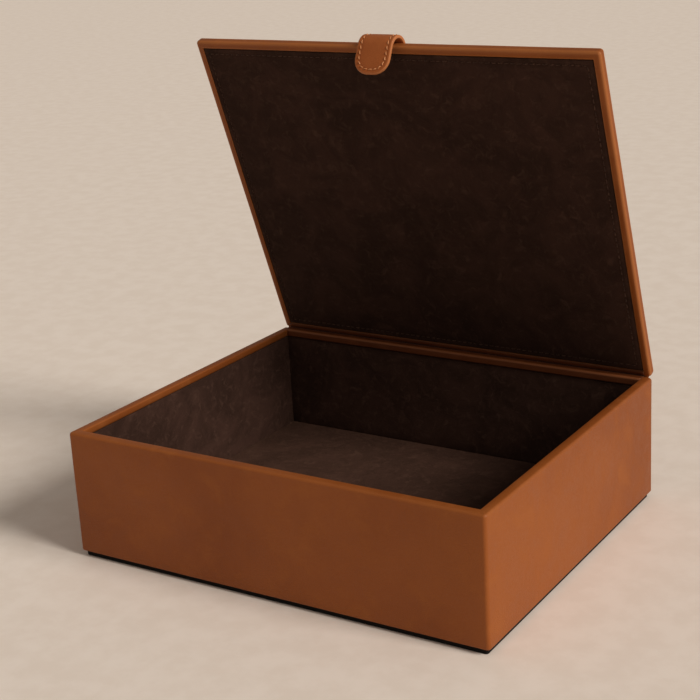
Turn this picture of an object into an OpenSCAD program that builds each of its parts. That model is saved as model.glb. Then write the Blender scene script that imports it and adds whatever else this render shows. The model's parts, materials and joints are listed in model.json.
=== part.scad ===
// Leather-covered stationery box for A4 papers, with a suede lining, a hinged lid and a pull tab.
// Millimetres. The origin is the centre of the base's underside, +X to the right, +Y to the back, +Z up.
// The pieces are drawn as photographed, with the lid standing open.

/* [Box] */
// Width of the box over the leather
box_w = 320; // [200:1:480]
// Depth of the box over the leather, front to back
box_d = 260; // [160:1:400]
// Height of the leather body, from its underside to the rim
body_h = 88; // [50:1:160]
// Radius of the four upright corners
corner_r = 2.5; // [1.5:0.1:3]
// Radius of the rim's outer edge and of the lid's edges
edge_r = 2; // [1:0.1:3]
// Radius of the rim's inner edge
inner_edge_r = 1; // [0.4:0.1:2]
// Radius of the leather's lower edge
foot_r = 1.5; // [0.5:0.1:2.5]

/* [Boards] */
// Thickness of the wall boards
wall_board_t = 5; // [4:0.5:12]
// Thickness of the bottom board
bottom_board_t = 6; // [3:0.5:10]
// Thickness of the lid board
lid_board_t = 4.5; // [4:0.5:12]

/* [Leather and suede] */
// Thickness of the covering leather
leather_t = 1.2; // [0.8:0.1:2]
// Thickness of the suede panels with their backing
suede_t = 1.2; // [0.8:0.1:2.5]
// Depth of the leather turned over the rim and down the inside
turn_in = 5; // [3:0.5:12]
// Width of the leather turned in under the bottom
turn_under = 14; // [8:0.5:30]
// Groove between the suede panels and the leather's cut edges
lining_gap = 0.3; // [0:0.1:1]

/* [Base] */
// Height of the black base below the leather
base_h = 4; // [2:0.5:8]
// Distance the base is set in from the leather on every side
base_inset = 2.5; // [1:0.5:10]

/* [Lid] */
// Distance the lid's sides and front edge are set in from the box's faces
lid_inset = 1; // [0:0.5:3]
// Space between the rim and the shut lid
lid_gap = 0.6; // [0.4:0.1:1.5]
// Width of the leather border round the lid's lining
border_w = 5.5; // [5:0.5:20]
// Angle at which the lid stands open, from shut
lid_open = 70; // [0:1:110]

/* [Hinge] */
// Distance the outer hinge leather stops short of the box's sides
spine_inset = 3; // [3:0.5:20]
// Distance the inner hinge leather stops short of the box's sides
liner_inset = 6; // [4:0.5:20]
// Height of the outer hinge leather on the back face
spine_drop = 24; // [10:1:45]
// Width of the outer hinge leather on the lid's top
spine_rise = 24; // [10:1:60]
// Width of the inner hinge leather on the lid
liner_rise = 5; // [3:0.5:12]
// Running clearance round the fold on the hinge line
fold_gap = 0.6; // [0.5:0.1:1]

/* [Stitching] */
// Thickness of the thread
thread_d = 0.8; // [0.4:0.1:1.2]
// Distance of the lid's stitching from the edge of its suede
lid_stitch_inset = 4; // [2:0.5:10]
// Distance of the tab's stitching from the tab's edge
tab_stitch_inset = 3.2; // [2:0.2:5]
// Depth that the thread is drawn into the leather or suede
stitch_sink = 0.5; // [0.2:0.1:0.6]

/* [Pull tab] */
// Width of the tab
tab_w = 27; // [18:1:60]
// Thickness of each of the tab's two leather layers
tab_layer_t = 1.2; // [1:0.1:1.6]
// Running clearance between the two layers in the bend
tab_gap = 0.3; // [0.2:0.1:0.5]
// Inner radius of the bend over the lid's front edge
tab_bend_r = 8; // [6:0.5:12]
// Length of the tab on the lid's outer face
tab_tail = 34; // [15:1:80]
// Straight length of the hanging flap
tab_drop = 22; // [18:1:45]
// Radius of the tab's rounded corners
tab_corner_r = 11; // [6:0.5:13]
// Angle that the hanging flap is folded in when the lid stands open, past square to the lid
tab_fold = 45; // [0:1:45]

/* [Hidden] */
$fn = 64;

// Overshoot of the cutting shapes
cut = 1;

// Heights of the body
hide_z = base_h;
board_z = hide_z + leather_t;
floor_z = board_z + bottom_board_t;
rim_z = base_h + body_h;
lining_top_z = rim_z - turn_in - lining_gap;

// Distances inwards from the box's faces
board_out = leather_t;
board_in = board_out + wall_board_t;
hide_in = board_in + leather_t;
lining_in = board_in + suede_t;

// Half sizes of the box
half_w = box_w / 2;
half_d = box_d / 2;
spine_half_w = half_w - spine_inset;
liner_half_w = half_w - liner_inset;

// The hinge line runs inside the outer hinge leather, midway between the rim and the shut lid
hinge_y = half_d - leather_t / 2;
hinge_z = rim_z + lid_gap / 2;
fold_r = leather_t / 2;
fold_clear = fold_r + fold_gap;

// Heights and edges of the shut lid
lid_z = rim_z + lid_gap;
lid_board_z = lid_z + leather_t;
lid_top_z = lid_board_z + lid_board_t + leather_t;
lid_half_w = half_w - lid_inset;
lid_front_y = -half_d + lid_inset;
lid_lining_half_w = lid_half_w - border_w - lining_gap;
lid_lining_front_y = lid_front_y + border_w + lining_gap;
lid_lining_back_y = half_d - liner_rise - lining_gap;

// The tab's bend starts where the lid's front edge begins to round
bend_y = lid_front_y + edge_r;
bend_z = lid_top_z - tab_bend_r;
bend_mid_r = tab_bend_r + tab_layer_t;
bend_out_r = bend_mid_r + tab_layer_t;
tab_half_w = tab_w / 2;
tab_round_r = min(tab_corner_r, tab_half_w - 0.5);
stitch_half_w = tab_half_w - tab_stitch_inset;

// Angles round the bend, from the lid's outer face: where the outer layer of the tail ends, and
// where the inner layer of the flap starts when the flap is square to the lid
tail_arc_end = 88;
flap_arc_start = 10;

hide_colour = [0.61, 0.35, 0.18];
border_colour = [0.55, 0.30, 0.15];
suede_colour = [0.20, 0.13, 0.10];
board_colour = [0.62, 0.55, 0.45];
base_colour = [0.07, 0.06, 0.06];
light_thread = [0.85, 0.65, 0.45];
dark_thread = [0.12, 0.08, 0.06];

// A rectangle between two corners
module area(x0, y0, x1, y1) {
    translate([x0, y0]) square([x1 - x0, y1 - y0]);
}

// A block between two corners
module block(x0, y0, z0, x1, y1, z1) {
    translate([x0, y0, z0]) cube([x1 - x0, y1 - y0, z1 - z0]);
}

// A rectangle with one radius at its lower corners and another at its upper corners
module rounded_area(x0, y0, x1, y1, low_r, top_r) {
    union() {
        area(x0 + low_r, y0, x1 - low_r, y0 + low_r);
        area(x0, y0 + low_r, x1, y1 - top_r);
        area(x0 + top_r, y1 - top_r, x1 - top_r, y1);
        for (x = [x0 + low_r, x1 - low_r]) translate([x, y0 + low_r]) circle(low_r);
        for (x = [x0 + top_r, x1 - top_r]) translate([x, y1 - top_r]) circle(top_r);
    }
}

// Extrudes an outline drawn in Y and Z along X, and one drawn in X and Z along Y
module along_x(x0, x1) {
    translate([x0, 0, 0]) rotate([90, 0, 90]) linear_extrude(x1 - x0) children();
}
module along_y(y0, y1) {
    translate([0, y1, 0]) rotate([90, 0, 0]) linear_extrude(y1 - y0) children();
}

// A block whose upright edges, lower edges and upper edges are rounded, with mitred corners
module rounded_block(x0, y0, z0, x1, y1, z1, upright_r, low_r, top_r) {
    intersection() {
        translate([0, 0, z0]) linear_extrude(z1 - z0)
            rounded_area(x0, y0, x1, y1, upright_r, upright_r);
        along_x(x0 - cut, x1 + cut) rounded_area(y0, z0, y1, z1, low_r, top_r);
        along_y(y0 - cut, y1 + cut) rounded_area(x0, z0, x1, z1, low_r, top_r);
    }
}

// The outline of an opening whose upper edge flares out in a round of radius r
module flared_area(half, z0, z1, r) {
    difference() {
        area(-half - r, z0, half + r, z1 + cut);
        for (side = [-1, 1]) {
            translate([side * (half + r), z1 - r]) circle(r);
            translate([side * (half + r + cut), (z0 - cut + z1 - r) / 2])
                square([2 * (r + cut), z1 - r - z0 + cut], center = true);
        }
    }
}

// The opening inside the rim, with its upper edge rounded and mitred
module flared_opening(half_x, half_y, z0, z1, r) {
    intersection() {
        along_x(-half_x - r - cut, half_x + r + cut) flared_area(half_y, z0, z1, r);
        along_y(-half_y - r - cut, half_y + r + cut) flared_area(half_x, z0, z1, r);
    }
}

// The block inside the box's faces, set in by the given distance
module inset_block(inset, z0, z1) {
    block(inset - half_w, inset - half_d, z0, half_w - inset, half_d - inset, z1);
}

// Moves pieces drawn on the shut lid to where the lid stands open
module on_lid() {
    translate([0, hinge_y, hinge_z]) rotate([-lid_open, 0, 0])
        translate([0, -hinge_y, -hinge_z]) children();
}

// Moves pieces drawn on the flap square to the lid to where it hangs when the lid stands open
module on_flap() {
    on_lid() translate([0, bend_y, bend_z]) rotate([tab_fold, 0, 0])
        translate([0, -bend_y, -bend_z]) children();
}

module base_panel() {
    color(base_colour) union() {
        inset_block(base_inset, 0, base_h);
        inset_block(turn_under, base_h, board_z);
    }
}

module bottom_board() {
    color(board_colour) inset_block(board_in, board_z, floor_z);
}

module front_board() {
    color(board_colour) block(
        board_out - half_w, board_out - half_d, board_z,
        half_w - board_out, board_in - half_d, rim_z - leather_t);
}

module back_board() {
    color(board_colour) block(
        board_out - half_w, half_d - board_in, board_z,
        half_w - board_out, half_d - board_out, rim_z - leather_t);
}

module side_board(side) {
    color(board_colour) translate([side * (half_w - (board_out + board_in) / 2), 0, 0])
        block(-wall_board_t / 2, board_in - half_d, board_z,
            wall_board_t / 2, half_d - board_in, rim_z - leather_t);
}

module left_board() {
    side_board(-1);
}

module right_board() {
    side_board(1);
}

// The recess in the leather for the outer hinge leather on the back face
module spine_recess() {
    block(-spine_half_w, half_d - leather_t, rim_z - spine_drop, spine_half_w, half_d + cut, rim_z + cut);
}

// The place of the inner hinge leather on the back rim and down the inside of the back wall
module liner_place() {
    block(-liner_half_w, half_d - hide_in, rim_z - leather_t, liner_half_w, half_d - board_out, rim_z + cut);
    block(hide_in - half_w, half_d - hide_in, rim_z - turn_in, half_w - hide_in, half_d - board_in, rim_z);
}

module wall_leather() {
    color(hide_colour) difference() {
        rounded_block(-half_w, -half_d, hide_z, half_w, half_d, rim_z, corner_r, foot_r, edge_r);
        difference() {
            inset_block(board_out, board_z, rim_z - leather_t);
            difference() {
                inset_block(board_in, rim_z - turn_in, rim_z + cut);
                inset_block(hide_in, rim_z - turn_in - cut, rim_z + 2 * cut);
            }
        }
        flared_opening(half_w - hide_in, half_d - hide_in, board_z, rim_z, inner_edge_r);
        inset_block(turn_under, hide_z - cut, board_z + cut);
        spine_recess();
        liner_place();
    }
}

module floor_lining() {
    color(suede_colour) inset_block(board_in, floor_z, floor_z + suede_t);
}

module front_lining() {
    color(suede_colour) block(
        board_in - half_w, board_in - half_d, floor_z + suede_t,
        half_w - board_in, lining_in - half_d, lining_top_z);
}

module back_lining() {
    color(suede_colour) block(
        board_in - half_w, half_d - lining_in, floor_z + suede_t,
        half_w - board_in, half_d - board_in, lining_top_z);
}

module side_lining(side) {
    color(suede_colour) translate([side * (half_w - (board_in + lining_in) / 2), 0, 0])
        block(-suede_t / 2, lining_in - half_d, floor_z + suede_t,
            suede_t / 2, half_d - lining_in, lining_top_z);
}

module left_lining() {
    side_lining(-1);
}

module right_lining() {
    side_lining(1);
}

module spine_lower() {
    color(hide_colour) block(
        -spine_half_w, half_d - leather_t, rim_z - spine_drop,
        spine_half_w, half_d, hinge_z - fold_clear);
}

module hinge_liner_lower() {
    color(border_colour) intersection() {
        liner_place();
        difference() {
            block(-half_w, half_d - hide_in, rim_z - turn_in, half_w, hinge_y - fold_clear, rim_z);
            flared_opening(half_w - hide_in, half_d - hide_in, board_z, rim_z, inner_edge_r);
        }
    }
}

module lid_board() {
    color(board_colour) on_lid() block(
        leather_t - lid_half_w, lid_front_y + leather_t, lid_board_z,
        lid_half_w - leather_t, half_d - leather_t, lid_top_z - leather_t);
}

// The strip of the outer hinge leather round the lid's back edge and on its top
module spine_upper_place() {
    block(-spine_half_w, half_d - leather_t, lid_z - cut, spine_half_w, half_d + cut, lid_top_z + cut);
    block(-spine_half_w, half_d - spine_rise, lid_top_z - leather_t, spine_half_w, half_d + cut, lid_top_z + cut);
}

// The whole lid's outer form
module lid_form() {
    rounded_block(-lid_half_w, lid_front_y, lid_z, lid_half_w, half_d, lid_top_z, corner_r, edge_r, edge_r);
}

module lid_leather() {
    color(hide_colour) on_lid() difference() {
        lid_form();
        block(leather_t - lid_half_w, lid_front_y + leather_t, lid_board_z,
            lid_half_w - leather_t, half_d - leather_t, lid_top_z - leather_t);
        block(border_w - lid_half_w, lid_front_y + border_w, lid_z - cut,
            lid_half_w - border_w, half_d - liner_rise, lid_board_z);
        block(-liner_half_w, half_d - liner_rise - cut, lid_z - cut, liner_half_w, half_d - leather_t, lid_board_z);
        spine_upper_place();
    }
}

// A flat ring between two rectangles, the outer one given by its half width and its ends
module ring_area(half, y0, y1, wide) {
    difference() {
        area(-half, y0, half, y1);
        area(wide - half, y0 + wide, half - wide, y1 - wide);
    }
}

module lid_lining() {
    color(suede_colour) on_lid() difference() {
        block(-lid_lining_half_w, lid_lining_front_y, lid_z, lid_lining_half_w, lid_lining_back_y, lid_board_z);
        translate([0, 0, lid_z - cut]) linear_extrude(cut + stitch_sink) ring_area(
            lid_lining_half_w - lid_stitch_inset + thread_d / 2,
            lid_lining_front_y + lid_stitch_inset - thread_d / 2,
            lid_lining_back_y - lid_stitch_inset + thread_d / 2,
            thread_d);
    }
}

// A straight run of thread between two points on the lid's lining, along X or along Y
module thread_run(x0, y0, x1, y1, z) {
    translate([x0, y0, z]) rotate([0, 0, atan2(y1 - y0, x1 - x0)]) rotate([0, 90, 0])
        cylinder(h = norm([x1 - x0, y1 - y0]), d = thread_d);
}

module lid_thread() {
    x = lid_lining_half_w - lid_stitch_inset;
    y0 = lid_lining_front_y + lid_stitch_inset;
    y1 = lid_lining_back_y - lid_stitch_inset;
    z = lid_z + stitch_sink - thread_d / 2;
    color(dark_thread) on_lid() union() {
        for (y = [y0, y1]) thread_run(-x, y, x, y, z);
        for (side = [-1, 1]) thread_run(side * x, y0, side * x, y1, z);
        for (side = [-1, 1], y = [y0, y1]) translate([side * x, y, z]) sphere(d = thread_d);
    }
}

// The outline of the outer hinge leather on the lid, in Y and Z, with the fold on the hinge line
module spine_upper_area() {
    difference() {
        union() {
            area(half_d - spine_rise, hinge_z, half_d - edge_r, lid_top_z);
            area(half_d - spine_rise, hinge_z, half_d, lid_top_z - edge_r);
            translate([half_d - edge_r, lid_top_z - edge_r]) circle(edge_r);
        }
        area(half_d - spine_rise - cut, hinge_z - cut, half_d - leather_t, lid_top_z - leather_t);
    }
    translate([hinge_y, hinge_z]) circle(fold_r);
}

module spine_upper() {
    end = spine_half_w - fold_gap / 2;
    color(hide_colour) on_lid() along_x(-end, end) spine_upper_area();
}

module hinge_liner_upper() {
    color(border_colour) on_lid() block(
        -liner_half_w, half_d - liner_rise, lid_z,
        liner_half_w, half_d - leather_t, lid_board_z);
}

// A strap from Y = 0 to the given length, with its far end rounded
module strap_area(half, length, r) {
    intersection() {
        area(-half - cut, 0, half + cut, length + cut);
        union() {
            area(-half, -r, half, length - r);
            area(r - half, -r, half - r, length);
            for (side = [-1, 1]) translate([side * (half - r), length - r]) circle(r);
        }
    }
}

// The groove for the thread along the strap's edge, grown on both sides of the stitching line
module strap_groove(length) {
    grow = thread_d / 2;
    in = tab_stitch_inset;
    difference() {
        strap_area(stitch_half_w + grow, length - in + grow, tab_round_r - in + grow);
        translate([0, -cut])
            strap_area(stitch_half_w - grow, length - in - grow + cut, tab_round_r - in - grow);
    }
}

// The thread along the strap's edge, up both sides and round its far end
module strap_thread(length) {
    r = tab_round_r - tab_stitch_inset;
    far = length - tab_stitch_inset;
    for (side = [-1, 1]) {
        translate([side * stitch_half_w, 0, 0]) rotate([-90, 0, 0]) cylinder(h = far - r, d = thread_d);
        translate([side * (stitch_half_w - r), far - r, 0]) rotate([0, 0, 45 - side * 45])
            rotate_extrude(angle = 90) translate([r, 0]) circle(d = thread_d);
    }
    translate([r - stitch_half_w, far, 0]) rotate([0, 90, 0])
        cylinder(h = 2 * (stitch_half_w - r), d = thread_d);
}

// Turns a ring sector that starts at +X into one round the tab's bend, starting at the lid's outer face
module round_bend(x) {
    translate([x, bend_y, bend_z]) rotate([0, -90, 180]) children();
}

// A layer of the bend between two radii, from the lid's outer face round to the given angle
module bend_layer(r0, r1, angle, x0, x1) {
    round_bend(x0) rotate_extrude(angle = angle) area(r0, 0, r1, x1 - x0);
}

// Moves a strap drawn flat to the lid's outer face, or to the flap's place square to the lid
module on_tail(z) {
    translate([0, bend_y, z]) children();
}
module on_drop(y) {
    translate([0, y, bend_z]) rotate([-90, 0, 0]) children();
}

module tab_tail_outer() {
    top = lid_top_z + 2 * tab_layer_t;
    color(hide_colour) on_lid() difference() {
        union() {
            on_tail(top - tab_layer_t) linear_extrude(tab_layer_t)
                strap_area(tab_half_w, tab_tail, tab_round_r);
            bend_layer(bend_mid_r + tab_gap / 2, bend_out_r, tail_arc_end, -tab_half_w, tab_half_w);
        }
        on_tail(top - stitch_sink) linear_extrude(stitch_sink + cut) strap_groove(tab_tail);
        for (side = [-1, 1]) bend_layer(
            bend_out_r - stitch_sink, bend_out_r + cut, tail_arc_end + cut,
            side * stitch_half_w - thread_d / 2, side * stitch_half_w + thread_d / 2);
    }
}

module tab_tail_lining() {
    color(border_colour) on_lid() on_tail(lid_top_z) linear_extrude(tab_layer_t)
        strap_area(tab_half_w, tab_tail, tab_round_r);
}

module tab_tail_thread() {
    r = bend_out_r - stitch_sink + thread_d / 2;
    color(light_thread) on_lid() {
        on_tail(bend_z + r) strap_thread(tab_tail);
        for (side = [-1, 1]) round_bend(side * stitch_half_w)
            rotate_extrude(angle = tail_arc_end) translate([r, 0]) circle(d = thread_d);
    }
}

module tab_flap_outer() {
    color(hide_colour) on_flap() difference() {
        on_drop(bend_y - bend_out_r) linear_extrude(tab_layer_t)
            strap_area(tab_half_w, tab_drop, tab_round_r);
        on_drop(bend_y - bend_out_r - cut) linear_extrude(cut + stitch_sink) strap_groove(tab_drop);
    }
}

module tab_flap_lining() {
    color(border_colour) on_flap() {
        on_drop(bend_y - bend_mid_r) linear_extrude(tab_layer_t)
            strap_area(tab_half_w, tab_drop, tab_round_r);
        translate([tab_half_w, bend_y, bend_z]) rotate([90, 0, -90])
            rotate_extrude(angle = 90 - flap_arc_start)
                area(tab_bend_r, 0, bend_mid_r - tab_gap / 2, tab_w);
    }
}

module tab_thread() {
    color(light_thread) on_flap()
        on_drop(bend_y - bend_out_r + stitch_sink - thread_d / 2) strap_thread(tab_drop);
}

base_panel();
bottom_board();
front_board();
back_board();
left_board();
right_board();
wall_leather();
floor_lining();
front_lining();
back_lining();
left_lining();
right_lining();
spine_lower();
hinge_liner_lower();
lid_board();
lid_leather();
lid_lining();
lid_thread();
spine_upper();
hinge_liner_upper();
tab_tail_outer();
tab_tail_lining();
tab_tail_thread();
tab_flap_outer();
tab_flap_lining();
tab_thread();
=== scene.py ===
import json
import math
import bmesh
import bpy
from mathutils import Matrix, Vector, noise


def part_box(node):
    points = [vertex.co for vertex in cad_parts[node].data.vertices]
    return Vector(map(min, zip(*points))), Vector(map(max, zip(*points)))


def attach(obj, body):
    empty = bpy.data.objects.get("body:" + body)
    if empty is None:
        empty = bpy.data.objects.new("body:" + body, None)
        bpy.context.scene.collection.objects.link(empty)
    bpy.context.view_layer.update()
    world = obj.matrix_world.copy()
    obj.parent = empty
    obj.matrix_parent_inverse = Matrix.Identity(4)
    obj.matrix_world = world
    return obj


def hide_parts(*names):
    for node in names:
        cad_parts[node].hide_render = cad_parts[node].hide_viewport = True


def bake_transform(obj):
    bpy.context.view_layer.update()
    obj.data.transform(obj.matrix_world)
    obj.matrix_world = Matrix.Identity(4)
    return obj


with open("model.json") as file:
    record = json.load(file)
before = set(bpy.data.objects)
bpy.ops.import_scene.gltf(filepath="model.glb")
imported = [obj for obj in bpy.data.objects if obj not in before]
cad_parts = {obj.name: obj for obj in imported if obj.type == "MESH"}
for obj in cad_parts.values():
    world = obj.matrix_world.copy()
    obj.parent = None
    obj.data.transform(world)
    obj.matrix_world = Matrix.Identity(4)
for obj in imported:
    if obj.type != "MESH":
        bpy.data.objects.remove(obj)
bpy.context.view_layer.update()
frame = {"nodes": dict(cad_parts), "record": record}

MM = 0.001

# Sizes taken from the frame
JOINTS = {joint["name"]: joint for joint in frame["record"]["behaviour"]["joints"]}
HINGE = Vector(JOINTS["lid_hinge"]["pos_m"])
LID_OPEN = -math.radians(JOINTS["lid_hinge"]["range_deg"][0])
BEND = Vector(JOINTS["tab_fold"]["pos_m"])
TAB_FOLD = -math.radians(JOINTS["tab_fold"]["range_deg"][0])

# Turn pieces between the shut lid and where it stands open
OPEN_LID = Matrix.Translation(HINGE) @ Matrix.Rotation(-LID_OPEN, 4, "X") @ Matrix.Translation(-HINGE)
SHUT_LID = OPEN_LID.inverted()


def shut_box(node):
    """The lowest and highest corner of a lid node when the lid is shut."""
    points = [SHUT_LID @ vertex.co for vertex in frame["nodes"][node].data.vertices]
    low = Vector([min(point[axis] for point in points) for axis in range(3)])
    high = Vector([max(point[axis] for point in points) for axis in range(3)])
    return low, high


WALL_LO, WALL_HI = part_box("wall_leather")
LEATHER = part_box("spine_lower")[1].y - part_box("spine_lower")[0].y
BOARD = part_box("back_board")[1].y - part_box("back_board")[0].y
LID_LO, LID_HI = shut_box("lid_leather")
LINING_LO, LINING_HI = shut_box("lid_lining")
LID_THREAD_LO, LID_THREAD_HI = shut_box("lid_thread")
TAIL_HI = shut_box("tab_tail_outer")[1]
LINER_LO, LINER_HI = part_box("hinge_liner_lower")
RISE_LO = shut_box("hinge_liner_upper")[0]
SPINE_LO, SPINE_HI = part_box("spine_lower")
SPINE_TOP_LO = shut_box("spine_upper")[0]
HIDE_IN = 2 * LEATHER + BOARD
RIM = WALL_HI.z


def linear(rgb):
    """A colour given in sRGB steps of 0 to 255, as linear RGBA."""
    return tuple((c / 255 / 12.92) if c < 11 else ((c / 255 + 0.055) / 1.055) ** 2.4 for c in rgb) + (1.0,)


class Nodes:
    """A material's node tree with short calls for the nodes used here."""

    def __init__(self, name, base, roughness):
        self.material = bpy.data.materials.new(name)
        self.material.use_nodes = True
        self.tree = self.material.node_tree
        self.shader = self.tree.nodes["Principled BSDF"]
        self.shader.inputs["Base Color"].default_value = linear(base)
        self.shader.inputs["Roughness"].default_value = roughness
        self.place = self.tree.nodes.new("ShaderNodeTexCoord").outputs["Object"]

    def link(self, source, target):
        self.tree.links.new(source, target)

    def stretched(self, scale):
        mapping = self.tree.nodes.new("ShaderNodeMapping")
        mapping.inputs["Scale"].default_value = scale
        self.link(self.place, mapping.inputs["Vector"])
        return mapping.outputs["Vector"]

    def noise(self, scale, detail=3.0, roughness=0.55, distortion=0.0, place=None):
        node = self.tree.nodes.new("ShaderNodeTexNoise")
        node.inputs["Scale"].default_value = scale
        node.inputs["Detail"].default_value = detail
        node.inputs["Roughness"].default_value = roughness
        node.inputs["Distortion"].default_value = distortion
        self.link(place or self.place, node.inputs["Vector"])
        return node.outputs["Fac"]

    def cells(self, scale, feature="F1", place=None):
        node = self.tree.nodes.new("ShaderNodeTexVoronoi")
        node.feature = feature
        node.inputs["Scale"].default_value = scale
        self.link(place or self.place, node.inputs["Vector"])
        return node.outputs["Distance"]

    def attribute(self, name):
        node = self.tree.nodes.new("ShaderNodeAttribute")
        node.attribute_name = name
        return node.outputs["Fac"]

    def span(self, value, low, high, to_low=0.0, to_high=1.0):
        node = self.tree.nodes.new("ShaderNodeMapRange")
        node.interpolation_type = "SMOOTHSTEP"
        for key, number in zip(("From Min", "From Max", "To Min", "To Max"), (low, high, to_low, to_high)):
            node.inputs[key].default_value = number
        self.link(value, node.inputs["Value"])
        return node.outputs["Result"]

    def sum(self, a, b, weight):
        """a plus weight times b"""
        node = self.tree.nodes.new("ShaderNodeMath")
        node.operation = "MULTIPLY_ADD"
        self.link(b, node.inputs[0])
        node.inputs[1].default_value = weight
        self.link(a, node.inputs[2])
        return node.outputs["Value"]

    def mix(self, factor, a, b):
        """Mixes two colours, each a socket or an sRGB triple, by a socket or a number."""
        node = self.tree.nodes.new("ShaderNodeMix")
        node.data_type = "RGBA"
        for value, target in ((factor, node.inputs[0]), (a, node.inputs[6]), (b, node.inputs[7])):
            if isinstance(value, tuple):
                target.default_value = linear(value)
            elif isinstance(value, float):
                target.default_value = value
            else:
                self.link(value, target)
        return node.outputs[2]

    def colour(self, socket):
        self.link(socket, self.shader.inputs["Base Color"])

    def rough(self, socket):
        self.link(socket, self.shader.inputs["Roughness"])

    def bump(self, height, depth, strength=1.0, after=None):
        node = self.tree.nodes.new("ShaderNodeBump")
        node.inputs["Strength"].default_value = strength
        node.inputs["Distance"].default_value = depth
        self.link(height, node.inputs["Height"])
        if after:
            self.link(after, node.inputs["Normal"])
        self.link(node.outputs["Normal"], self.shader.inputs["Normal"])
        return node.outputs["Normal"]


def leather_material(name, base, deep, pale, worn_and_highlight, grain=1.0):
    """Smooth vegetable-tanned leather: softly clouded colour, fine pores and creases. Edges are lighter,
    partly burnish wear and partly painted highlight; seams are darker, dark joints and painted shade.
    """
    m = Nodes(name, base, 0.5)
    clouds = m.noise(9, detail=4, roughness=0.55, distortion=0.4)
    blotches = m.noise(46, detail=5, roughness=0.62, distortion=0.5)
    specks = m.noise(520, detail=3, roughness=0.7)
    tone = m.mix(m.span(clouds, 0.32, 0.68), deep, base)
    tone = m.mix(m.span(blotches, 0.46, 0.76, 0.0, 0.40), tone, pale)
    tone = m.mix(m.span(blotches, 0.46, 0.26, 0.0, 0.35), tone, deep)
    tone = m.mix(m.span(specks, 0.56, 0.78, 0.0, 0.30), tone, deep)
    # Lighter towards the edge mark: partly burnish wear, partly a painted highlight on rounded edges and
    # corners
    tone = m.mix(m.span(m.attribute("edge"), 0.0, 1.0, 0.0, 0.60), tone, worn_and_highlight)
    # Darker towards the seam mark: dark joints, and painted shade in the hinge fold and down the inside of
    # the rim
    tone = m.mix(m.span(m.attribute("seam_and_shade"), 0.0, 1.0, 0.0, 0.85), tone, (46, 22, 9))
    m.colour(tone)
    m.rough(m.span(m.sum(blotches, specks, 0.5), 0.50, 1.0, 0.42, 0.60))
    m.shader.inputs["Specular IOR Level"].default_value = 0.24
    warp = m.noise(120, detail=3)
    pores = m.sum(m.cells(1500), m.cells(620, "DISTANCE_TO_EDGE"), 0.8)
    skin = m.sum(m.sum(pores, m.noise(2600, detail=2), 0.5), warp, 1.1)
    m.bump(skin, 0.00025 * grain, 0.45)
    return m.material


def suede_material(name, base, deep, pale):
    """Brushed suede: the nap lies in patches of lighter and darker fibres."""
    m = Nodes(name, base, 0.95)
    patches = m.noise(22, detail=6, roughness=0.66, distortion=1.4)
    brushed = m.noise(140, detail=5, roughness=0.7, distortion=0.8)
    fibres = m.noise(1900, detail=4, roughness=0.8)
    tone = m.mix(m.span(patches, 0.35, 0.66), deep, base)
    tone = m.mix(m.span(brushed, 0.48, 0.80, 0.0, 0.75), tone, pale)
    tone = m.mix(m.span(fibres, 0.52, 0.76, 0.0, 0.42), tone, pale)
    tone = m.mix(m.span(fibres, 0.48, 0.30, 0.0, 0.38), tone, deep)
    m.colour(tone)
    m.shader.inputs["Specular IOR Level"].default_value = 0.12
    m.shader.inputs["Sheen Weight"].default_value = 0.30
    m.shader.inputs["Sheen Roughness"].default_value = 0.42
    m.shader.inputs["Sheen Tint"].default_value = linear((150, 110, 88))
    m.bump(m.sum(m.sum(fibres, brushed, 1.3), patches, 1.8), 0.0006, 0.55)
    return m.material


def thread_material(name, base, deep):
    m = Nodes(name, base, 0.55)
    m.colour(m.mix(m.span(m.noise(900, detail=3), 0.40, 0.72), deep, base))
    m.shader.inputs["Specular IOR Level"].default_value = 0.16
    m.bump(m.noise(5200, detail=2), 0.00008, 0.6)
    return m.material


def board_material(name, base, deep):
    """Pressed grey board with its fibres."""
    m = Nodes(name, base, 0.9)
    fibres = m.noise(300, detail=5, roughness=0.7, place=m.stretched((1, 1, 7)))
    m.colour(m.mix(m.span(fibres, 0.35, 0.70), deep, base))
    m.bump(fibres, 0.0003, 0.5)
    return m.material


def base_material(name, base, pale):
    """Black bookcloth with a fine even grain."""
    m = Nodes(name, base, 0.85)
    m.shader.inputs["Specular IOR Level"].default_value = 0.18
    weave = m.sum(m.noise(1300, detail=2), m.noise(700, detail=2), 0.6)
    m.colour(m.mix(m.span(weave, 0.70, 1.05), base, pale))
    m.bump(weave, 0.0002, 0.6)
    return m.material


HIDE = leather_material("tan_leather", (150, 81, 32), (136, 70, 25), (164, 95, 42), (184, 114, 62))
HIDE_DARK = leather_material("hinge_leather", (106, 54, 24), (90, 44, 18), (120, 65, 31), (146, 87, 50))
TAB_HIDE = leather_material("tab_leather", (168, 92, 44), (155, 82, 37), (180, 105, 55), (198, 128, 80), 0.8)
SUEDE = suede_material("dark_suede", (68, 46, 38), (52, 34, 27), (92, 67, 56))
LID_SUEDE = suede_material("lid_suede", (60, 39, 31), (46, 29, 22), (80, 57, 46))
LIGHT_THREAD = thread_material("light_thread", (226, 164, 116), (192, 128, 82))
DARK_THREAD = thread_material("dark_thread", (94, 66, 52), (58, 38, 29))
BOARDS = board_material("grey_board", (150, 134, 112), (118, 102, 84))
BASE = base_material("black_bookcloth", (15, 12, 11), (27, 23, 21))


def finished(name, mesh, material, body=None, nodes=()):
    """Makes the object of a mesh, with its material, its body and the CAD nodes it stands for."""
    mesh.materials.append(material)
    for polygon in mesh.polygons:
        polygon.use_smooth = True
    piece = bpy.data.objects.new(name, mesh)
    bpy.context.scene.collection.objects.link(piece)
    if nodes:
        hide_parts(*nodes)
    if body:
        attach(piece, body)
    return piece


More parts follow.
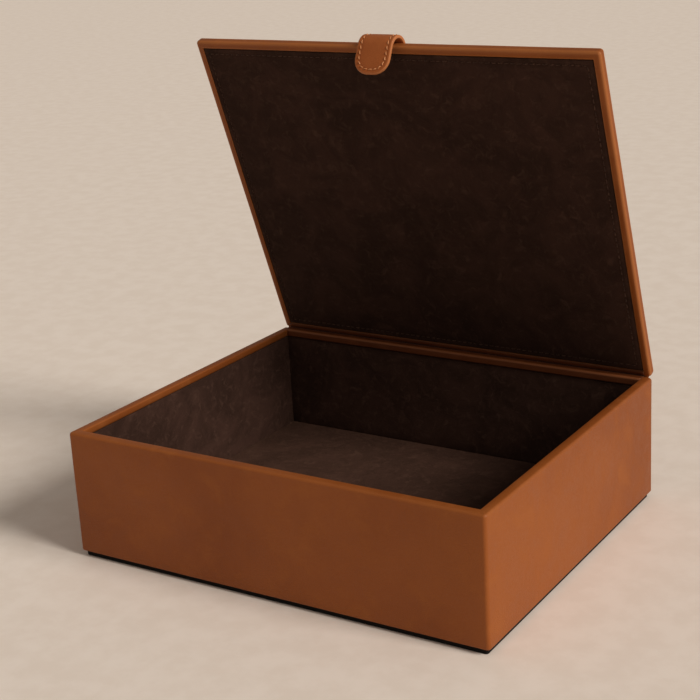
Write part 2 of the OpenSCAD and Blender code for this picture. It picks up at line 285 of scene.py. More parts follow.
def mesh_of(name, points, faces, marks=None):
    """A mesh with outward normals, whose marks are named values per point."""
    mesh = bpy.data.meshes.new(name)
    mesh.from_pydata([tuple(point) for point in points], [], faces)
    work = bmesh.new()
    work.from_mesh(mesh)
    bmesh.ops.recalc_face_normals(work, faces=work.faces)
    work.to_mesh(mesh)
    work.free()
    for key, values in (marks or {}).items():
        mesh.attributes.new(key, "FLOAT", "POINT").data.foreach_set("value", values)
    return mesh


def share(count):
    """count + 1 even steps from 0 to 1"""
    return [step / count for step in range(count + 1)]


def arc(centre, radius, start, end, steps):
    """Points of an arc in a plane, from one angle in degrees to another."""
    angles = [math.radians(start + (end - start) * t) for t in share(steps)]
    return [(centre[0] + radius * math.cos(a), centre[1] + radius * math.sin(a)) for a in angles]


def wander(point, scale, size):
    """A smooth random offset of at most about size, the same on each run."""
    return noise.noise(Vector(point) * scale) * size


def ring(x0, y0, x1, y1, radius, along=24, across=20, turn=6):
    """The points of a rounded rectangle, always in the same number and order."""
    points = []
    corners = ((x1, y0, -90, across), (x1, y1, 0, along), (x0, y1, 90, across), (x0, y0, 180, along))
    for x, y, angle, _ in corners:
        centre = (x + (radius if x == x0 else -radius), y + (radius if y == y0 else -radius))
        points.append(arc(centre, radius, angle, angle + 90, turn))
    outline = []
    for index, corner in enumerate(points):
        following = points[(index + 1) % 4][0]
        last = corner[-1]
        steps = corners[index][3]
        outline += corner
        outline += [(last[0] + (following[0] - last[0]) * t, last[1] + (following[1] - last[1]) * t)
                    for t in share(steps)[1:-1]]
    return outline


def loft(rings, closed, open_at=None):
    """Faces between rings of points; a closed loft joins the last ring to the first.
    No faces follow the ring that open_at names."""
    count = len(rings[0])
    faces = []
    for level in range(len(rings) if closed else len(rings) - 1):
        if level == open_at:
            continue
        a = level * count
        b = (level + 1) % len(rings) * count
        for k in range(count):
            n = (k + 1) % count
            faces.append((a + k, a + n, b + n, b + k))
    return faces


def ring_loft(name, levels, closed=True, caps=(), open_at=None, move=None, crown=0.0):
    """Lofts rounded rectangles, each (x0, y0, x1, y1, radius, z, edge, seam), into one closed piece. The edge
    mark lightens, with wear and painted highlight; the seam mark darkens, with dark joints and painted shade.
    """
    points, edge, seam_and_shade, rings = [], [], [], []
    for x0, y0, x1, y1, radius, z, edge_value, seam_and_shade_value in levels:
        outline = ring(x0, y0, x1, y1, radius)
        rings.append(outline)
        for x, y in outline:
            points.append(Vector((x, y, z)))
            # Vertical corners take part of the edge mark: a painted highlight along them, partly wear
            corner = min(abs(abs(x) - x1) / (4 * MM), 1)
            corner += min(min(abs(y - y0), abs(y - y1)) / (4 * MM), 1)
            edge.append(max(edge_value, 0.3 * max(0.0, 1 - 2 * corner)))
            seam_and_shade.append(seam_and_shade_value)
    faces = loft(rings, closed, open_at)
    count = len(rings[0])
    for level in caps:
        faces.append(tuple(range(level * count, (level + 1) * count)))
    points = [point + Vector((wander(point, 24, crown), wander(point + Vector((5, 0, 0)), 24, crown), 0))
              for point in points]
    if move:
        points = [move @ point for point in points]
    return mesh_of(name, points, faces, {"edge": edge, "seam_and_shade": seam_and_shade})


def level(inset, z, radius, edge=0.0, seam_and_shade=0.0, low=WALL_LO, high=WALL_HI):
    """A ring of the box's walls, set in from their outer faces."""
    return (low.x + inset, low.y + inset, high.x - inset, high.y - inset, radius, z, edge, seam_and_shade)


CORNER = 2.5 * MM
RIM_EDGE = 2.0 * MM
RIM_INNER = 1.0 * MM
FOOT_EDGE = 1.5 * MM
SHARP = 0.5 * MM
TURN_IN = RIM - LINER_LO.z
UNDER = 14 * MM


def corner_at(inset):
    """The radius of a ring's corners, set in from the outer faces."""
    return max(CORNER - inset, SHARP)


def wall_leather():
    """The leather round the walls: under the bottom, up the outside, over the rim and down inside."""
    foot = WALL_LO.z
    levels = [level(UNDER, foot + 0.3 * MM, SHARP, seam_and_shade=0.5), level(UNDER - 0.4 * MM, foot, SHARP)]
    levels += [level(6 * MM, foot, SHARP)]
    for inset, z in arc((FOOT_EDGE, foot + FOOT_EDGE), FOOT_EDGE, -90, -180, 5):
        levels.append(level(inset, z, corner_at(inset)))
    for t in share(9)[1:-1]:
        z = foot + FOOT_EDGE + (RIM - RIM_EDGE - foot - FOOT_EDGE) * t
        levels.append(level(0, z, CORNER))
    # The rounded outer rim is lighter at its middle: partly wear, partly painted highlight
    for index, (inset, z) in enumerate(arc((RIM_EDGE, RIM - RIM_EDGE), RIM_EDGE, 180, 90, 7)):
        rubbed_and_highlight = 0.3 * math.sin(math.pi * (index + 1) / 9)
        levels.append(level(inset, z, corner_at(inset), edge=rubbed_and_highlight))
    for t in share(5)[1:-1]:
        inset = RIM_EDGE + (HIDE_IN - RIM_INNER - RIM_EDGE) * t
        crown = 0.18 * MM * math.sin(math.pi * t)
        levels.append(level(inset, RIM + crown, SHARP))
    # The inner rim edge is lighter, wear and painted highlight, and begins to darken into painted shade
    for index, (inset, z) in enumerate(arc((HIDE_IN - RIM_INNER, RIM - RIM_INNER), RIM_INNER, 90, 0, 5)):
        rubbed_and_highlight = 0.25 * math.sin(math.pi * (index + 1) / 7)
        levels.append(level(inset, z, SHARP, edge=rubbed_and_highlight, seam_and_shade=0.05 * index))
    # The turned-in band grows darker towards its foot: painted shade down the inside of the rim, and a dark
    # joint at the lining
    low = RIM - TURN_IN
    levels.append(level(HIDE_IN, low + 1.6 * MM, SHARP, seam_and_shade=0.35))
    levels.append(level(HIDE_IN, low + 0.5 * MM, SHARP, seam_and_shade=0.5))
    levels.append(level(HIDE_IN - 0.35 * MM, low, SHARP, seam_and_shade=0.9))
    levels.append(level(HIDE_IN - LEATHER, low, SHARP, seam_and_shade=1.0))
    levels.append(level(HIDE_IN - LEATHER, RIM - LEATHER, SHARP))
    levels.append(level(LEATHER, RIM - LEATHER, SHARP))
    levels.append(level(LEATHER, foot + LEATHER, SHARP))
    levels.append(level(UNDER, foot + LEATHER, SHARP))
    mesh = ring_loft("wall_leather_skin", levels, crown=0.12 * MM)
    finished("wall_leather_skin", mesh, HIDE, "box", ["wall_leather"])


# Distances in from the lid's sides of the rings on its top, in millimetres
LID_RINGS = (5, 12, 26, 50, 85, 120)


def lid_leather():
    """The leather over the lid, turned over its edges and in as the border round the lining."""
    lining = (LINING_LO.x, LINING_LO.y, LINING_HI.x, LINING_HI.y)
    x0, y0, x1, y1 = LID_LO.x, LID_LO.y, LID_HI.x, LID_HI.y
    under, over = LID_LO.z, LID_HI.z

    def at(inset, z, radius, edge=0.0, seam_and_shade=0.0):
        return (x0 + inset, y0 + inset, x1 - inset, y1 - inset, radius, z, edge, seam_and_shade)

    def inner(inset, z, seam_and_shade, edge=0.0):
        gap = 0.3 * MM - inset
        return (lining[0] - gap, lining[1] - gap, lining[2] + gap, lining[3] + gap, SHARP, z, edge, seam_and_shade)

    # The border's cut edge by the lining is darker, a dark joint and painted shade, and its turn is lighter,
    # wear and painted highlight
    levels = [inner(0, under + LEATHER, 1.0), inner(0, under + 0.35 * MM, 0.8)]
    levels.append(inner(-0.3 * MM, under, 0.0, 0.6))
    levels.append((x0 + 3.6 * MM, y0 + 3.6 * MM, x1 - 3.6 * MM, y1 - 3.2 * MM, SHARP, under, 0.0, 0.0))
    # The lid's two rounded edges are lighter at their middle: partly wear, partly painted highlight
    for index, (inset, z) in enumerate(arc((RIM_EDGE, under + RIM_EDGE), RIM_EDGE, -90, -180, 6)):
        rubbed_and_highlight = math.sin(math.pi * (index + 1) / 8)
        levels.append(at(inset, z, corner_at(inset), edge=rubbed_and_highlight))
    levels.append(at(0, (under + over) / 2, CORNER))
    for index, (inset, z) in enumerate(arc((RIM_EDGE, over - RIM_EDGE), RIM_EDGE, 180, 90, 6)):
        rubbed_and_highlight = math.sin(math.pi * (index + 1) / 8)
        levels.append(at(inset, z, corner_at(inset), edge=rubbed_and_highlight))
    for inset in LID_RINGS:
        levels.append(at(inset * MM, over, SHARP))
    levels.append(at(LID_RINGS[-1] * MM, over - LEATHER, SHARP))
    levels.append(at(LEATHER, over - LEATHER, SHARP))
    levels.append(at(LEATHER, under + LEATHER, SHARP))
    outer_cap = len(levels) - 4
    caps = (outer_cap, outer_cap + 1)
    mesh = ring_loft("lid_leather_skin", levels, caps=caps, open_at=outer_cap, move=OPEN_LID, crown=0.10 * MM)
    finished("lid_leather_skin", mesh, HIDE, "lid", ["lid_leather"])


def panel(name, origin, u, v, up, profile, material, body, node, nap=0.0, cell=9 * MM, move=None):
    """A lined panel: u and v are its sides from the origin corner, up its face's direction.
    The profile gives (inset, height) from its foot to the flat face."""
    along = max(2, round(u.length / cell))
    across = max(2, round(v.length / cell))
    border = [(i, 0) for i in range(along)] + [(along, j) for j in range(across)]
    border += [(i, across) for i in range(along, 0, -1)] + [(0, j) for j in range(across, 0, -1)]
    u_dir, v_dir = u.normalized(), v.normalized()

    def place(i, j, inset, height):
        across_u = inset + (u.length - 2 * inset) * i / along
        across_v = inset + (v.length - 2 * inset) * j / across
        return origin + u_dir * across_u + v_dir * across_v + up * height

    points = [place(i, j, inset, height) for inset, height in profile for i, j in border]
    faces = loft([border] * len(profile), False)
    count = len(border)
    faces.append(tuple(range(count)))
    index = {key: (len(profile) - 1) * count + k for k, key in enumerate(border)}
    inset, height = profile[-1]
    for i in range(1, along):
        for j in range(1, across):
            index[i, j] = len(points)
            base = place(i, j, inset, height)
            points.append(base + up * wander(base, 35, nap))
    for i in range(along):
        for j in range(across):
            faces.append((index[i, j], index[i + 1, j], index[i + 1, j + 1], index[i, j + 1]))
    if move:
        points = [move @ point for point in points]
    mesh = mesh_of(name, points, faces)
    return finished(name, mesh, material, body, [node])


def soft_edge(thickness, radius):
    """The profile of a panel's edge, rounded to its face."""
    return [(0, 0), (0, thickness - radius)] + [
        (radius - radius * math.cos(a), thickness - radius + radius * math.sin(a))
        for a in (math.radians(30), math.radians(60), math.radians(90))]


def linings():
    """The five suede panels inside the box."""
    round_off = 0.7 * MM
    X, Y, Z = Vector((1, 0, 0)), Vector((0, 1, 0)), Vector((0, 0, 1))
    faces = {"front_lining": "+y", "back_lining": "-y", "left_lining": "+x", "right_lining": "-x",
             "floor_lining": "+z"}
    for node, face in faces.items():
        low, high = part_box(node)
        size = high - low
        if face == "+y":
            origin, u, v, up, thick = low, X * size.x, Z * size.z, Y, size.y
        elif face == "-y":
            origin, u, v, up, thick = Vector((low.x, high.y, low.z)), X * size.x, Z * size.z, -Y, size.y
        elif face == "+x":
            origin, u, v, up, thick = low, Y * size.y, Z * size.z, X, size.x
        elif face == "-x":
            origin, u, v, up, thick = Vector((high.x, low.y, low.z)), Y * size.y, Z * size.z, -X, size.x
        else:
            origin, u, v, up, thick = low, X * size.x, Y * size.y, Z, size.z
        profile = soft_edge(thick, round_off)
        panel(node + "_suede", origin, u, v, up, profile, SUEDE, "box", node, nap=0.25 * MM)


def lid_lining():
    """The lid's suede panel, drawn in along its stitching."""
    size = LINING_HI - LINING_LO
    stitch = LID_THREAD_LO.x - LINING_LO.x + 0.4 * MM
    groove = 0.45 * MM
    profile = soft_edge(size.z, 0.6 * MM)
    profile += [(stitch - 1.5 * MM, size.z + 0.1 * MM), (stitch - 0.6 * MM, size.z - 0.1 * MM),
                (stitch, size.z - groove), (stitch + 0.6 * MM, size.z - 0.1 * MM),
                (stitch + 1.8 * MM, size.z + 0.12 * MM), (stitch + 6 * MM, size.z + 0.05 * MM)]
    origin = Vector((LINING_LO.x, LINING_LO.y, LINING_HI.z))
    panel("lid_lining_suede", origin, Vector((size.x, 0, 0)), Vector((0, size.y, 0)), Vector((0, 0, -1)),
          profile, LID_SUEDE, "lid", "lid_lining", nap=0.22 * MM, move=OPEN_LID)


def stitch(points, faces, start, end, up, radius, slant=0.0, lobes=2, rise=0.35):
    """Adds one stitch of two-ply twisted thread, which rises between its holes."""
    forward = end - start
    length = forward.length
    forward.normalize()
    side = up.cross(forward).normalized()
    rings, around = 9, 10
    first = len(points)
    for k in range(rings):
        t = k / (rings - 1)
        swell = math.sin(math.pi * t)
        centre = start + forward * (length * t) + side * (slant * (t - 0.5) * 2)
        centre += up * (radius * (2 * rise * swell ** 0.6 - 0.9 * (1 - swell ** 0.5)))
        fat = radius * (0.45 + 0.55 * swell ** 0.35)
        for j in range(around):
            angle = 2 * math.pi * j / around
            lobe = 1 + 0.16 * math.cos(lobes * (angle - 3.2 * t))
            points.append(centre + (side * math.cos(angle) + up * math.sin(angle)) * fat * lobe)
    for k in range(rings - 1):
        a = first + k * around
        for j in range(around):
            n = (j + 1) % around
            faces.append((a + j, a + n, a + around + n, a + around + j))
    faces.append(tuple(range(first, first + around)))
    faces.append(tuple(range(first + (rings - 1) * around, first + rings * around)))


def lid_stitches():
    """The dark stitching round the lid's lining."""
    pitch, radius = 4.6 * MM, 0.42 * MM
    # Half the thread node's thickness
    half = 0.4 * MM
    x0, x1 = LID_THREAD_LO.x + half, LID_THREAD_HI.x - half
    y0, y1 = LID_THREAD_LO.y + half, LID_THREAD_HI.y - half
    z = LINING_LO.z + 0.25 * MM
    down = Vector((0, 0, -1))
    points, faces = [], []
    corners = [Vector((x0, y0, z)), Vector((x1, y0, z)), Vector((x1, y1, z)), Vector((x0, y1, z))]
    for a, b in zip(corners, corners[1:] + corners[:1]):
        count = round((b - a).length / pitch)
        step = (b - a) / count
        for k in range(count):
            start = a + step * (k + 0.10)
            stitch(points, faces, start, start + step * 0.80, down, radius, slant=0.14 * MM)
    points = [OPEN_LID @ point for point in points]
    mesh = mesh_of("lid_stitching", points, faces)
    finished("lid_stitching", mesh, DARK_THREAD, "lid", ["lid_thread"])


def strip(name, path, widths, thickness, material, nodes, marks):
    """A leather strip across the hinge. Its path in Y and Z is its outer side, with the thickness to the
    path's right, half a width for each point of the path, and (edge, seam) marks for some of the points.
    The edge mark lightens, with wear and painted highlight; the seam mark darkens, with dark joints and
    painted shade."""
    outer, inner = [], []
    for k, point in enumerate(path):
        before = Vector(path[max(k - 1, 0)])
        after = Vector(path[min(k + 1, len(path) - 1)])
        along = (after - before).normalized()
        outer.append(Vector(point))
        inner.append(Vector(point) + Vector((along.y, -along.x)) * thickness)
    section = outer + inner[::-1]
    middle = [(a + b) / 2 for a, b in zip(outer, inner)]
    middle = middle + middle[::-1]
    halves = widths + widths[::-1]
    order = list(range(len(path))) + list(range(len(path)))[::-1]
    inside = [0.0, 0.35 * MM, 2.4 * MM]
    columns = [(-1, value) for value in inside]
    columns += [(0, t) for t in share(38)[1:-1]]
    columns += [(1, value) for value in reversed(inside)]
    points, edge, seam_and_shade = [], [], []
    for side, value in columns:
        rim = side != 0 and value == 0.0
        for k, (point, core, half) in enumerate(zip(section, middle, halves)):
            reach = half - inside[-1]
            x = side * (half - value) if side else -reach + 2 * reach * value
            place = core + (point - core) * (0.5 if rim else 1.0)
            points.append(Vector((x, place.x, place.y)))
            marked = marks.get(order[k], (0.0, 0.0))
            ends = order[k] in (0, len(path) - 1)
            # The sides take some of the edge mark, wear and painted highlight, and the sides and ends the
            # seam mark, dark cut edges and painted shade
            edge.append(max(marked[0], 0.3 if rim else 0.0))
            seam_and_shade.append(max(marked[1], 0.5 if rim or ends else 0.0))
    count = len(section)
    faces = loft([section] * len(columns), False)
    faces.append(tuple(range(count)))
    faces.append(tuple(range(len(points) - count, len(points))))
    mesh = mesh_of(name, points, faces, {"edge": edge, "seam_and_shade": seam_and_shade})
    return finished(name, mesh, material, None, nodes)


def turned(y, z):
    """A point of the shut lid's middle plane, where it stands open, as (y, z)."""
    point = OPEN_LID @ Vector((0, y, z))
    return (point.y, point.z)


PROUD = 0.25 * MM


def straight(a, b, step=3 * MM):
    """Evenly spaced points from a to b in a plane, without b."""
    a, b = Vector(a), Vector(b)
    count = max(1, round((b - a).length / step))
    return [tuple(a + (b - a) * k / count) for k in range(count)]


def across_hinge(piece):
    """Bakes a piece's placement into its mesh; it is not bent across the hinge line."""
    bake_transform(piece)


def outer_hinge():
    """The outer hinge leather: up the back face, round the lid's back edge and on over its top."""
    back = WALL_HI.y + PROUD
    top = LID_HI.z + PROUD
    path = straight((back, SPINE_LO.z), (back, RIM - 3 * MM))
    path += [(back, RIM - 3 * MM), (back, RIM - 1.4 * MM), (back + 0.1 * MM, RIM - 0.4 * MM)]
    path += [turned(back + 0.1 * MM, LID_LO.z + 0.4 * MM), turned(back, LID_LO.z + 1.6 * MM)]
    path += [turned(back, z) for z in (LID_LO.z + 3.0 * MM, top - RIM_EDGE)]
    path += [turned(y, z) for y, z in arc((back - RIM_EDGE, top - RIM_EDGE), RIM_EDGE, 0, 90, 5)[1:]]
    path += [turned(y, z) for y, z in straight((back - RIM_EDGE - 2 * MM, top), (SPINE_TOP_LO.y, top))]
    path.append(turned(SPINE_TOP_LO.y, top))
    widths = [SPINE_HI.x] * len(path)
    nodes = ["spine_lower", "spine_upper"]
    across_hinge(strip("spine_leather", path[::-1], widths, 0.9 * MM, HIDE, nodes, {}))


def inner_hinge():
    """The inner hinge leather: up the inside of the back wall, over the rim, into the fold and up the lid."""
    inside = WALL_HI.y - HIDE_IN - PROUD
    rim = RIM + PROUD
    under = LID_LO.z - PROUD
    fold = WALL_HI.y
    path = straight((inside, LINER_LO.z), (inside, rim - RIM_INNER), 1.2 * MM)
    low = len(path)
    path += arc((inside + RIM_INNER, rim - RIM_INNER), RIM_INNER, 180, 90, 5)
    lip = range(low + 1, len(path) - 1)
    path.append((inside + RIM_INNER + 1.5 * MM, rim + 0.08 * MM))
    path += [(fold - 3.2 * MM, rim), (fold - 2.1 * MM, rim - 0.15 * MM)]
    first = len(path)
    path += [(fold - 1.3 * MM, rim - 0.55 * MM), (HINGE.y - 0.2 * MM, HINGE.z)]
    path.append(turned(fold - 1.3 * MM, under + 0.55 * MM))
    last = len(path)
    path += [turned(fold - 2.1 * MM, under + 0.15 * MM), turned(fold - 3.2 * MM, under)]
    path += [turned(RISE_LO.y + 0.8 * MM, under), turned(RISE_LO.y + 0.2 * MM, under + 0.15 * MM)]
    between = WALL_HI.x - HIDE_IN - 0.1 * MM
    widths = [between] * low + [between + (LINER_HI.x - between) * t for t in share(5)]
    widths += [LINER_HI.x] * (len(path) - len(widths))
    # Painted highlight on the rim lip, painted shade in the fold, and a dark joint with painted shade at the
    # foot by the lining
    marks = {k: (0.9, 0.0) for k in lip}
    marks.update({k: (0.0, 1.0) for k in range(first, last)})
    marks[0] = (0.0, 0.9)
    total = len(path) - 1
    marks = {total - k: value for k, value in marks.items()}
    nodes = ["hinge_liner_lower", "hinge_liner_upper"]
    liner = strip("hinge_liner", path[::-1], widths[::-1], 0.7 * MM, HIDE_DARK, nodes, marks)
    across_hinge(liner)


TAB_HALF = TAIL_HI.x
TAIL = TAIL_HI.y - (SHUT_LID @ BEND).y
BEND_R = TAIL_HI.z - (SHUT_LID @ BEND).z
TAB_T = TAIL_HI.z - LID_HI.z
BEND_MID = BEND_R - TAB_T / 2
TAB_ARC = math.pi / 2 + TAB_FOLD
TAB_CORNER = 11 * MM
TAB_STITCH = 3.2 * MM


def flap_length():
    """The straight length of the flap's node, turned back to where it hangs straight down."""
    square = Matrix.Translation(BEND) @ Matrix.Rotation(-TAB_FOLD, 4, "X") @ Matrix.Translation(-BEND)
    low = min((SHUT_LID @ square @ vertex.co).z for vertex in frame["nodes"]["tab_flap_outer"].data.vertices)
    return (SHUT_LID @ BEND).z - low


# The dressed flap ends a little short of its solid
FLAP_SHORT = 2 * MM
DROP = flap_length() - FLAP_SHORT
TAB_LENGTH = TAIL + BEND_MID * TAB_ARC + DROP


def strap_place(x, s, height):
    """The point of the strap at x across, s along from its tail's end, and a height above its middle."""
    centre = SHUT_LID @ BEND
    if s < TAIL:
        point = Vector((x, centre.y + TAIL - s, centre.z + BEND_MID + height))
    elif s < TAIL + BEND_MID * TAB_ARC:
        angle = (s - TAIL) / BEND_MID
        radius = BEND_MID + height
        point = Vector((x, centre.y - radius * math.sin(angle), centre.z + radius * math.cos(angle)))
    else:
        rest = s - TAIL - BEND_MID * TAB_ARC
        radius = BEND_MID + height
        point = Vector((x, centre.y - radius * math.sin(TAB_ARC) - rest * math.cos(TAB_ARC),
                        centre.z + radius * math.cos(TAB_ARC) - rest * math.sin(TAB_ARC)))
    return OPEN_LID @ point


def strap_edge_distance(x, s):
    """The distance from a point of the flat strap to its outline."""
    from_end = min(s, TAB_LENGTH - s)
    from_side = TAB_HALF - abs(x)
    if from_end < TAB_CORNER and from_side < TAB_CORNER:
        return TAB_CORNER - math.hypot(TAB_CORNER - from_end, TAB_CORNER - from_side)
    return min(from_end, from_side)


def strap_half_width(s):
    """Half the strap's width at s, with its round corners."""
    from_end = min(s, TAB_LENGTH - s)
    if from_end >= TAB_CORNER:
        return TAB_HALF
    return TAB_HALF - TAB_CORNER + math.sqrt(max(0.0, TAB_CORNER ** 2 - (TAB_CORNER - from_end) ** 2))


def strap_height(distance, side):
    """The strap's half thickness at a distance from its edge, drawn in along the stitching."""
    edge_r = 0.9 * MM
    near = min(max(distance, 0.0), edge_r)
    half = TAB_T / 2 * (0.35 * (1 if distance > 1e-7 else 0) + 0.65 * math.sqrt(1 - (1 - near / edge_r) ** 2))
    if distance <= 1e-7:
        return 0.0
    pull = math.exp(-((distance - TAB_STITCH) / (0.7 * MM)) ** 2)
    crown = 0.12 * MM * min(1.0, max(0.0, distance - TAB_STITCH) / (5 * MM))
    return side * (half - (0.30 if side > 0 else 0.12) * MM * pull + (crown if side > 0 else 0))


def spaced(length, fine, coarse_count):
    """Positions from 0 to length, close together at both ends."""
    inner = [fine[-1] + (length - 2 * fine[-1]) * t for t in share(coarse_count)[1:-1]]
    return fine + inner + [length - value for value in reversed(fine)]


def tab():
    """The pull tab: one strap of two layers, fixed to the lid, that bends over its front edge."""
    fine = [value * MM for value in (0, 0.06, 0.2, 0.45, 0.9, 1.6, 2.4, 2.9, 3.3, 3.8, 4.6)]
    rows = spaced(TAB_LENGTH, fine, 52)
    share_x = [value / TAB_HALF for value in spaced(2 * TAB_HALF, fine, 14)]
    points, edge, seam_and_shade = [], [], []
    sides = []
    for side in (1, -1):
        index = {}
        for i, s in enumerate(rows):
            half = strap_half_width(s)
            for j, u in enumerate(share_x):
                x = (u - 1) * half
                rim = i in (0, len(rows) - 1) or j in (0, len(share_x) - 1)
                if rim and side < 0:
                    index[i, j] = sides[0][i, j]
                    continue
                distance = 0.0 if rim else max(strap_edge_distance(x, s), 2e-7)
                index[i, j] = len(points)
                points.append(strap_place(x, s, strap_height(distance, side)))
                # The strap's edges are lighter: partly burnish wear, partly painted highlight
                edge.append(max(0.0, 1 - distance / (1.3 * MM)))
                seam_and_shade.append(0.0)
        sides.append(index)
    faces = []
    for index in sides:
        for i in range(len(rows) - 1):
            for j in range(len(share_x) - 1):
                faces.append((index[i, j], index[i + 1, j], index[i + 1, j + 1], index[i, j + 1]))
    mesh = mesh_of("pull_tab", points, faces, {"edge": edge, "seam_and_shade": seam_and_shade})
    strap = finished("pull_tab", mesh, TAB_HIDE, None,
                     ["tab_tail_outer", "tab_tail_lining", "tab_flap_outer", "tab_flap_lining"])
    blend_tab(strap)


def blend_tab(piece):
    """Bakes a piece's placement into its mesh; it is not bent over the tab's bend."""
    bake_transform(piece)


def strap_line(inset):
    """The points and lengths of the stitching line round the strap, as (x, s)."""
    half, radius = TAB_HALF - inset, TAB_CORNER - inset
    far = TAB_LENGTH - inset
    line = []
    line += [(-half, s) for s in (inset + radius, far - radius)]
    line += [(x, s) for x, s in arc((-half + radius, far - radius), radius, 180, 90, 12)][1:]
    line += [(x, s) for x, s in arc((half - radius, far - radius), radius, 90, 0, 12)]
    line.append((half, inset + radius))
    line += [(x, s) for x, s in arc((half - radius, inset + radius), radius, 0, -90, 12)][1:]
    line += [(x, s) for x, s in arc((-half + radius, inset + radius), radius, -90, -180, 12)]
    return line


def walk(line, pitch):
    """Even steps of about one pitch along a line of points."""
    lengths = [math.dist(a, b) for a, b in zip(line, line[1:])]
    total = sum(lengths)
    count = round(total / pitch)
    targets = [total * k / count for k in range(count + 1)]
    stops, done, index = [], 0.0, 0
    for target in targets:
        while index < len(lengths) - 1 and done + lengths[index] < target:
            done += lengths[index]
            index += 1
        t = min(1.0, (target - done) / lengths[index])
        a, b = line[index], line[index + 1]
        stops.append((a[0] + (b[0] - a[0]) * t, a[1] + (b[1] - a[1]) * t))
    return stops


def tab_stitches():
    """The light stitching round the tab."""
    pitch, radius = 3.7 * MM, 0.40 * MM
    points, faces = [], []
    stops = walk(strap_line(TAB_STITCH), pitch)
    lift = TAB_T / 2 - 0.12 * MM
    for a, b in zip(stops, stops[1:]):
        s0, s1 = 0.12, 0.88
        start = (a[0] + (b[0] - a[0]) * s0, a[1] + (b[1] - a[1]) * s0)
        end = (a[0] + (b[0] - a[0]) * s1, a[1] + (b[1] - a[1]) * s1)
        p, q = strap_place(start[0], start[1], lift), strap_place(end[0], end[1], lift)
        mid = ((a[0] + b[0]) / 2, (a[1] + b[1]) / 2)
        up = (strap_place(mid[0], mid[1], MM) - strap_place(mid[0], mid[1], 0)).normalized()
        stitch(points, faces, p, q, up, radius, slant=0.30 * MM)
    mesh = mesh_of("tab_stitching", points, faces)
    nodes = ["tab_tail_thread", "tab_thread"]
    blend_tab(finished("tab_stitching", mesh, LIGHT_THREAD, None, nodes))


def base_panel():
    """The black covered base, with softly rounded edges."""
    low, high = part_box("base_panel")
    top = WALL_LO.z
    round_off = 0.8 * MM
    levels = []
    for inset, z in arc((round_off, low.z + round_off), round_off, -90, -180, 3):
        levels.append(level(inset, z, 1.5 * MM, low=low, high=high))
    levels.append(level(0, top - 0.2 * MM, 1.5 * MM, low=low, high=high))
    levels.append(level(0.3 * MM, top + 0.2 * MM, 1.2 * MM, low=low, high=high))
    levels.append(level(UNDER, top + 0.2 * MM, SHARP, low=low, high=high))
    levels.append(level(UNDER, high.z, SHARP, low=low, high=high))
    levels.insert(0, level(20 * MM, low.z, SHARP, low=low, high=high))
    mesh = ring_loft("base_cover", levels, closed=False, caps=(0, len(levels) - 1))
    finished("base_cover", mesh, BASE, "box", ["base_panel"])


def boards():
    """The boards under the leather keep their CAD shape."""
    for name in ("bottom_board", "front_board", "back_board", "left_board", "right_board", "lid_board"):
        node = frame["nodes"][name]
        node.data.materials.clear()
        node.data.materials.append(BOARDS)


def floor():
    m = Nodes("pale_floor", (249, 236, 224), 0.9)
    clouds = m.noise(45, detail=5, roughness=0.6)
    m.colour(m.mix(m.span(clouds, 0.35, 0.65), (246, 233, 221), (251, 239, 228)))
    mesh = bpy.data.meshes.new("floor")
    reach = 30.0
    corners = [(-reach, -reach, 0), (reach, -reach, 0), (reach, reach, 0), (-reach, reach, 0)]
    mesh.from_pydata(corners, [], [(0, 1, 2, 3)])
    mesh.materials.append(m.material)
    plane = bpy.data.objects.new("floor", mesh)
    bpy.context.scene.collection.objects.link(plane)


def sun(name, direction, strength, softness, colour):
    """A far soft light from a direction; a strength of pi lights a facing surface at its own colour."""
    data = bpy.data.lights.new(name, "SUN")
    data.energy = strength
    data.angle = math.radians(softness)
    data.color = colour
    light = bpy.data.objects.new(name, data)
    light.rotation_mode = "QUATERNION"
    light.rotation_quaternion = Vector(direction).to_track_quat("Z", "Y")
    light.location = Vector(direction) * 2
    bpy.context.scene.collection.objects.link(light)


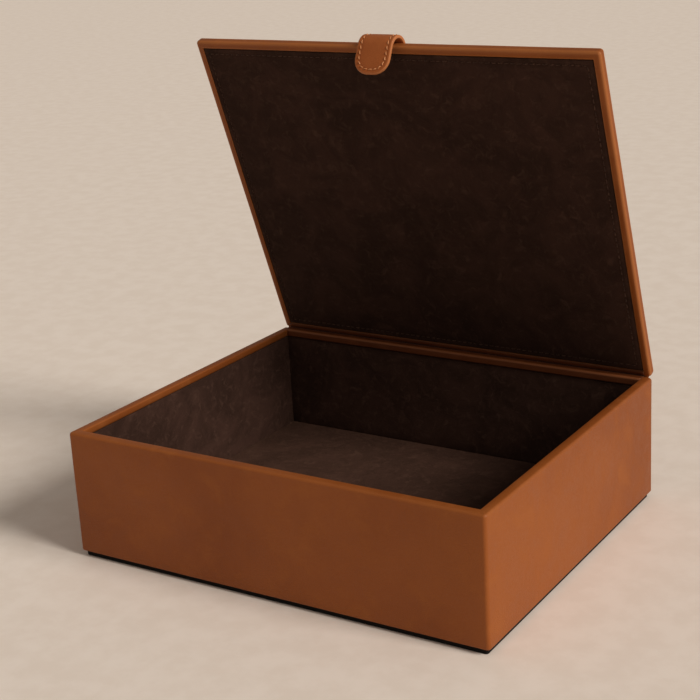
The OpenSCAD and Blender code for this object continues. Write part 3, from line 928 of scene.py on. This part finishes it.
# The light: a soft key from the right and a warm sky
KEY_FROM = (0.80, -0.03, 0.50)
KEY_STRENGTH = 2.45
KEY_SOFTNESS = 22
KEY_COLOUR = (1.0, 0.95, 0.88)
SKY_COLOUR = (1.0, 0.90, 0.80, 1)
SKY_STRENGTH = 0.26


def lights():
    world = bpy.data.worlds.new("studio")
    bpy.context.scene.world = world
    world.use_nodes = True
    background = world.node_tree.nodes["Background"]
    background.inputs["Color"].default_value = SKY_COLOUR
    background.inputs["Strength"].default_value = SKY_STRENGTH
    sun("key", KEY_FROM, KEY_STRENGTH, KEY_SOFTNESS, KEY_COLOUR)


# The camera, fitted to the box's corners in the photograph
FOCAL_PX = 1503.0
PHOTO_PX = 700.0
CAMERA_AT = (0.535, -0.831, 0.456)
YAW, PITCH, ROLL = -31.10, 16.74, -2.59
CENTRE_PX = (405.0, 311.0)


def camera():
    data = bpy.data.cameras.new("camera")
    data.sensor_width = 36
    data.lens = FOCAL_PX / PHOTO_PX * data.sensor_width
    data.shift_x = (PHOTO_PX / 2 - CENTRE_PX[0]) / PHOTO_PX
    data.shift_y = (CENTRE_PX[1] - PHOTO_PX / 2) / PHOTO_PX
    data.clip_start, data.clip_end = 0.05, 100
    yaw, pitch, roll = math.radians(YAW), math.radians(PITCH), math.radians(ROLL)
    ahead = Vector((math.sin(yaw) * math.cos(pitch), math.cos(yaw) * math.cos(pitch), -math.sin(pitch)))
    right = ahead.cross(Vector((0, 0, 1))).normalized()
    up = right.cross(ahead)
    right, up = math.cos(roll) * right + math.sin(roll) * up, math.cos(roll) * up - math.sin(roll) * right
    eye = bpy.data.objects.new("camera", data)
    turn = Matrix((right, up, -ahead)).transposed()
    eye.matrix_world = Matrix.Translation(Vector(CAMERA_AT)) @ turn.to_4x4()
    bpy.context.scene.collection.objects.link(eye)
    bpy.context.scene.camera = eye


camera()
floor()
lights()
boards()
base_panel()
wall_leather()
lid_leather()
linings()
lid_lining()
lid_stitches()
outer_hinge()
inner_hinge()
tab()
tab_stitches()
bpy.context.scene.view_settings.view_transform = "Standard"
